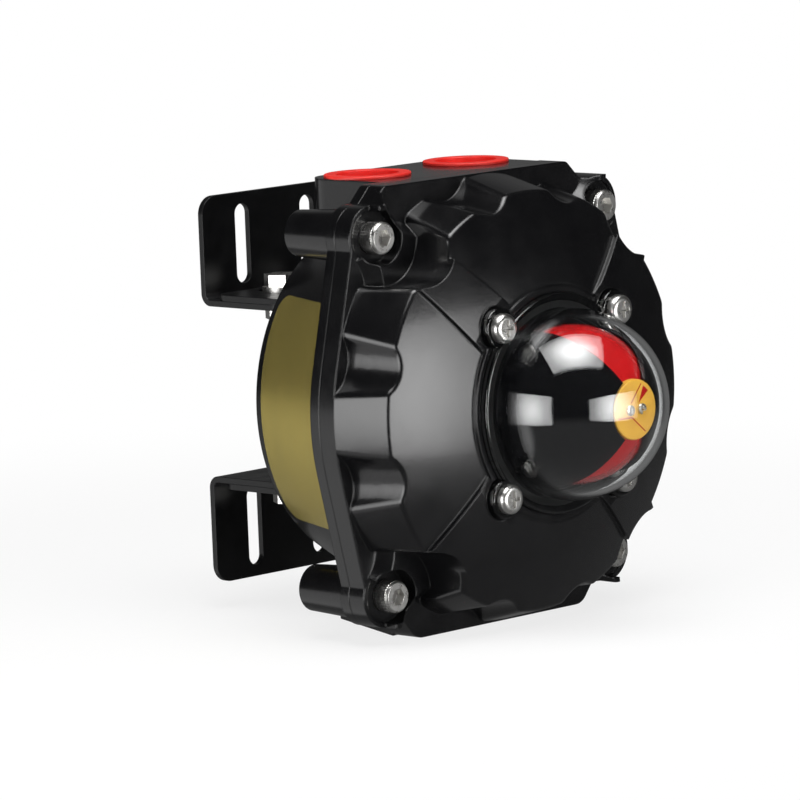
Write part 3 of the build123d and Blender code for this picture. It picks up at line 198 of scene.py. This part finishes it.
LOOKS = {
    "die_cast": finish_of(
        "black_enamel", (0.0022, 0.0022, 0.0026), (0.0034, 0.0034, 0.0038), (0.2, 0.27),
        grain=1.2, relief=0.022, edge=0.9, Coat_Weight=0.35, Coat_Roughness=0.1,
    ),
    "sheet_black": finish_of(
        "black_powder_coat", (0.0025, 0.0025, 0.0028), (0.004, 0.004, 0.0045), (0.3, 0.42),
        grain=0.6, relief=0.02, edge=0.4,
    ),
    "stainless": finish_of(
        "turned_stainless", STEEL, STEEL_DARKER, (0.25, 0.33),
        grain=0.3, relief=0.001, metal=1.0, edge=0.2,
    ),
    "zinc_steel": finish_of(
        "zinc_plate", (0.55, 0.57, 0.6), (0.46, 0.47, 0.47), (0.28, 0.38),
        grain=0.6, relief=0.003, metal=1.0, edge=0.2,
    ),
    "clear": clear_plastic(),
    "shroud_black": finish_of(
        "gloss_black_plastic", (0.002, 0.002, 0.0025), (0.003, 0.003, 0.0035), (0.04, 0.07),
        grain=5, relief=0.01, edge=0.3,
    ),
    "indicator_yellow": finish_of(
        "yellow_plastic", (0.72, 0.4, 0.045), (0.66, 0.35, 0.035), (0.28, 0.4),
        grain=0.8, relief=0.01, edge=0.2,
    ),
    "indicator_red": finish_of(
        "red_plastic", (0.42, 0.006, 0.008), (0.36, 0.005, 0.006), (0.12, 0.2),
        grain=0.8, relief=0.002, edge=0.2, Coat_Weight=1.0, Coat_Roughness=0.05,
    ),
    "plug_red": finish_of(
        "soft_red_plastic", (0.8, 0.03, 0.02), (0.7, 0.022, 0.016), (0.4, 0.52),
        grain=0.9, relief=0.02, edge=0.4, Subsurface_Weight=0.08, Subsurface_Scale=0.002,
    ),
    "gold_plate": finish_of(
        "gold_anodised_plate", (0.86, 0.7, 0.2), (0.82, 0.66, 0.18), (0.2, 0.26),
        grain=0.8, relief=0.0005, metal=0.9, stretch=(1, 1, 0.1),
    ),
    "seal_rubber": finish_of(
        "black_rubber", (0.012, 0.012, 0.012), (0.02, 0.02, 0.02), (0.55, 0.7),
        grain=0.5, relief=0.015,
    ),
    "bronze": finish_of(
        "sintered_bronze", (0.55, 0.33, 0.13), (0.4, 0.23, 0.09), (0.35, 0.5),
        grain=0.3, relief=0.02, metal=1.0,
    ),
    "switch_case": finish_of(
        "black_phenolic", (0.015, 0.015, 0.017), (0.022, 0.022, 0.024), (0.4, 0.55),
        grain=0.5, relief=0.02, edge=0.2,
    ),
    "plunger_red": finish_of(
        "red_acetal", (0.55, 0.02, 0.02), (0.48, 0.015, 0.015), (0.3, 0.4),
        grain=0.4, relief=0.01,
    ),
    "cam_red": finish_of(
        "red_nylon", (0.55, 0.025, 0.02), (0.47, 0.02, 0.016), (0.4, 0.52),
        grain=0.6, relief=0.02, edge=0.2,
    ),
    "cam_green": finish_of(
        "green_nylon", (0.02, 0.3, 0.07), (0.016, 0.25, 0.06), (0.4, 0.52),
        grain=0.6, relief=0.02, edge=0.2,
    ),
    "block_grey": finish_of(
        "grey_polyamide", (0.36, 0.37, 0.37), (0.31, 0.32, 0.32), (0.42, 0.55),
        grain=0.6, relief=0.02, edge=0.2,
    ),
    "brass": finish_of(
        "tinned_brass", (0.75, 0.55, 0.25), (0.62, 0.44, 0.19), (0.25, 0.4),
        grain=0.4, relief=0.01, metal=1.0,
    ),
    "roller_white": finish_of(
        "white_acetal", (0.8, 0.79, 0.75), (0.74, 0.73, 0.69), (0.3, 0.42),
        grain=0.4, relief=0.01,
    ),
}

for entry in frame["record"]["subparts"]:
    for slot in frame["nodes"][entry["node"]].material_slots:
        slot.link = "OBJECT"
        slot.material = LOOKS[entry["material_slot"]]


# ---- knurled heads of the cover bolts -----------------------------------------------------------

KNURL_TEETH = 36
KNURL_RELIEF = 0.24 * MM  # how far the teeth stand out of the head
KNURL_VALLEY = 0.01 * MM  # how far the valleys between them do
KNURL_SINK = 0.3 * MM  # how deep the band's foot is inside the head
KNURL_EDGE = 0.45 * MM  # how far the band stops short of the head's ends
HEAD_SIDE = 0.97  # a bolt's points beyond this share of its reach are on the side of its head
WELD_DECIMALS = 6


def islands(name):
    """The separate solids of a CAD node, each as an array of its points."""
    mesh = frame["nodes"][name].data
    points = np.array([v.co for v in mesh.vertices])
    _, welded = np.unique(np.round(points, WELD_DECIMALS), axis=0, return_inverse=True)
    welded = welded.ravel()
    group = np.arange(welded.max() + 1)
    edges = welded[np.array([e.vertices[:] for e in mesh.edges])]
    while True:
        low_group = np.minimum(group[edges[:, 0]], group[edges[:, 1]])
        before = group.copy()
        np.minimum.at(group, edges[:, 0], low_group)
        np.minimum.at(group, edges[:, 1], low_group)
        group = group[group]
        if (group == before).all():
            break
    return [points[group[welded] == g] for g in np.unique(group)]


def ring_mesh(name, profiles, steps):
    """Closed rings round the Y axis.

    profiles gives, for each ring, its centre and its loop of (radius, y) pairs at a step number.
    """
    points, faces = [], []
    for (x, z), loop_at in profiles:
        first = len(points)
        for i in range(steps):
            angle = 2 * math.pi * i / steps
            for radius, y in loop_at(i):
                points.append((x + radius * math.cos(angle), y, z + radius * math.sin(angle)))
        size = len(loop_at(0))
        for i in range(steps):
            here, there = first + i * size, first + (i + 1) % steps * size
            for j in range(size):
                k = (j + 1) % size
                faces.append((here + j, here + k, there + k, there + j))
    mesh = bpy.data.meshes.new(name)
    mesh.from_pydata(points, [], faces)
    mesh.validate()
    made = bpy.data.objects.new(name, mesh)
    bpy.context.scene.collection.objects.link(made)
    return made


def knurl_profiles():
    """For each cover bolt, the centre of its head and the loop of the knurled band round it."""
    found = []
    for points in islands("cover_bolts"):
        low, high = points.min(0), points.max(0)
        centre = ((low[0] + high[0]) / 2, (low[2] + high[2]) / 2)
        reach = (high[0] - low[0]) / 2
        out_from = np.hypot(points[:, 0] - centre[0], points[:, 2] - centre[1])
        wide = points[out_from > reach * HEAD_SIDE]
        face_y, seat_y = wide[:, 1].min() + KNURL_EDGE, wide[:, 1].max() - KNURL_EDGE

        def loop_at(i, reach=reach, face_y=face_y, seat_y=seat_y):
            tooth = reach + (KNURL_RELIEF if i % 2 else KNURL_VALLEY)
            root = reach - KNURL_SINK
            tip_y = face_y + KNURL_EDGE / 2
            return [(root, face_y), (tooth, tip_y), (tooth, seat_y), (root, seat_y)]

        found.append((centre, loop_at))
    return found


knurls = ring_mesh("cover_bolt_knurls", knurl_profiles(), 2 * KNURL_TEETH)
knurls.data.materials.append(
    finish_of(
        "knurled_stainless", STEEL, KNURL_DARKER, (0.2, 0.28), grain=0.2, relief=0.001, metal=1.0
    )
)
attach(knurls, "housing")

# ---- studio -------------------------------------------------------------------------------------

FLOOR_Z = cad_low.z
FLOOR_GAP = 0.0002
FLOOR_REACH = 8
FLOOR_GRAIN = 4 * MM
FLOOR_SHADES = (0.9, 0.9, 0.9), (0.87, 0.87, 0.87)
FLOOR_FADE = (0.1, 0.45)  # distances from the middle over which the floor's white comes up
FLOOR_WHITE = (0.8, 1.0)

# Strengths of what reflections see, then the cosines, or heights, that each fades over.
BACKDROP_LEVEL = 0.12
TABLE_LEVEL = 0.14
ROOM_LEVEL = 0.02
SWEEP_LEVEL = 0.75
BACKDROP_AIM = Vector((0.71, 0.692, 0.0)).normalized()
SWEEP_AIM = (-0.622, 0.723, -0.301)
BACKDROP_FADE = (0.72, 0.86)
TABLE_FADE = (-0.3, -0.12)
SWEEP_FADE = (0.8, 0.88)
SWEEP_TOP = (-0.07, 0.0)
UNREFLECTED = 0.5  # a path's count of reflections is below this when it has none


def face(name, corners, look):
    """A flat four-cornered face of the studio, which isn't part of the object."""
    mesh = bpy.data.meshes.new(name)
    mesh.from_pydata([tuple(c) for c in corners], [], [(0, 1, 2, 3)])
    mesh.materials.append(look)
    made = bpy.data.objects.new(name, mesh)
    bpy.context.scene.collection.objects.link(made)
    return made


def floor_look():
    """Pale floor. To the camera it is white away from the object, and keeps its shading near it."""
    made, tree, shader, out = start("pale_floor")
    shader.inputs["Roughness"].default_value = 0.8
    shader.inputs["Specular IOR Level"].default_value = 0.1
    grain = noise(tree, FLOOR_GRAIN)
    shade = blend_colours(tree, spread(tree, grain, 0, 1), *FLOOR_SHADES)
    tree.links.new(shade, shader.inputs["Base Color"])
    share = spread(tree, from_origin(tree), *FLOOR_WHITE, *FLOOR_FADE, curve="SMOOTHSTEP")
    eye = node(tree, "ShaderNodeLightPath").outputs["Is Camera Ray"]
    white = node(tree, "ShaderNodeEmission", {"Color": WHITE, "Strength": 1.0}).outputs["Emission"]
    show_mix(tree, out, number(tree, "MULTIPLY", eye, share), shader.outputs["BSDF"], white)
    return made


def lamp_look(name, core, rim, reach):
    """Softbox cloth, lit on its front only, that goes from core at its middle to rim at reach."""
    made, tree, shader, out = start(name)
    tree.nodes.remove(shader)
    glow = spread(tree, from_origin(tree), core, rim, 0.0, reach, curve="SMOOTHSTEP")
    lit = number(tree, "SUBTRACT", 1.0, node(tree, "ShaderNodeNewGeometry").outputs["Backfacing"])
    power = number(tree, "MULTIPLY", lit, glow)
    cloth = node(tree, "ShaderNodeEmission", {"Color": WHITE, "Strength": power})
    tree.links.new(cloth.outputs["Emission"], out.inputs["Surface"])
    return made


def softbox(name, middle, facing, width, height, core, rim):
    """A softbox at middle, in metres, whose lit front faces along facing."""
    away = -Vector(facing).normalized()
    right = Vector((0, 0, 1)).cross(away).normalized()
    up = away.cross(right)
    u, v = right * width / 2, up * height / 2
    made = face(name, [-u - v, v - u, u + v, u - v], lamp_look(name, core, rim, width / 2))
    made.location = middle
    made.visible_camera = False


square = ((-1, -1), (1, -1), (1, 1), (-1, 1))
floor = face("floor", [(x * FLOOR_REACH, y * FLOOR_REACH, 0) for x, y in square], floor_look())
floor.location.z = FLOOR_Z - FLOOR_GAP
floor.visible_glossy = False
floor.visible_transmission = False
floor.visible_shadow = False

softbox("left_softbox", (-0.5, -0.06, 0.0), (1, 0, 0), width=0.44, height=0.3, core=5.5, rim=2.5)
softbox(
    "front_softbox", (0.05, -0.99, -0.01), (-0.05, 1, 0.01),
    width=1.05, height=0.44, core=6.8, rim=1.6,
)
softbox(
    "overhead_softbox", (-0.14, -0.3, 0.85), (0.14, 0.2, -0.85),
    width=1.0, height=0.75, core=9.0, rim=2.5,
)


def studio_world():
    """White where the camera looks straight at it or through clear plastic, and dim for the rest.

    Reflections and light see a dim room, with a dim backdrop behind the object, a dim table below
    it and one bright sweep, low at the camera's left.
    """
    world = bpy.data.worlds.new("studio")
    world.use_nodes = True
    tree = world.node_tree
    direction = node(tree, "ShaderNodeTexCoord").outputs["Generated"]
    height = node(tree, "ShaderNodeSeparateXYZ", {0: direction}).outputs["Z"]
    toward = along(tree, direction, tuple(BACKDROP_AIM))
    backdrop = spread(tree, toward, 0.0, BACKDROP_LEVEL, *BACKDROP_FADE)
    table = spread(tree, height, TABLE_LEVEL, ROOM_LEVEL, *TABLE_FADE)
    beside = spread(tree, along(tree, direction, SWEEP_AIM), 0.0, SWEEP_LEVEL, *SWEEP_FADE)
    sweep = number(tree, "MULTIPLY", beside, spread(tree, height, 1.0, 0.0, *SWEEP_TOP))
    room = number(tree, "MAXIMUM", number(tree, "MAXIMUM", backdrop, table), sweep)

    path = node(tree, "ShaderNodeLightPath").outputs
    turned = number(tree, "ADD", path["Glossy Depth"], path["Diffuse Depth"])
    straight = number(tree, "LESS_THAN", turned, UNREFLECTED)
    through = number(tree, "MULTIPLY", path["Is Transmission Ray"], straight)
    seen = number(tree, "MAXIMUM", path["Is Camera Ray"], through)

    back = tree.nodes["Background"]
    back.inputs["Color"].default_value = WHITE
    tree.links.new(number(tree, "MAXIMUM", seen, room), back.inputs["Strength"])
    bpy.context.scene.world = world


studio_world()

# ---- camera -------------------------------------------------------------------------------------

CAMERA_AT = (-1.4096, -1.4300, 0.2564)
CAMERA_RIGHT = Vector((0.6936, -0.7192, -0.0393))
CAMERA_UP = Vector((0.1213, 0.0629, 0.9906))
CAMERA_FORWARD = Vector((0.7100, 0.6919, -0.1309))
CAMERA_LENS_MM = 275.5
CAMERA_SENSOR_MM = 36.0

camera_data = bpy.data.cameras.new("camera")
camera_data.lens = CAMERA_LENS_MM
camera_data.sensor_width = CAMERA_SENSOR_MM
camera = bpy.data.objects.new("camera", camera_data)
turn = Matrix((CAMERA_RIGHT, CAMERA_UP, -CAMERA_FORWARD)).transposed()
camera.matrix_world = Matrix.Translation(CAMERA_AT) @ turn.to_quaternion().to_matrix().to_4x4()
bpy.context.scene.collection.objects.link(camera)
bpy.context.scene.camera = camera
bpy.context.scene.view_settings.view_transform = "Standard"
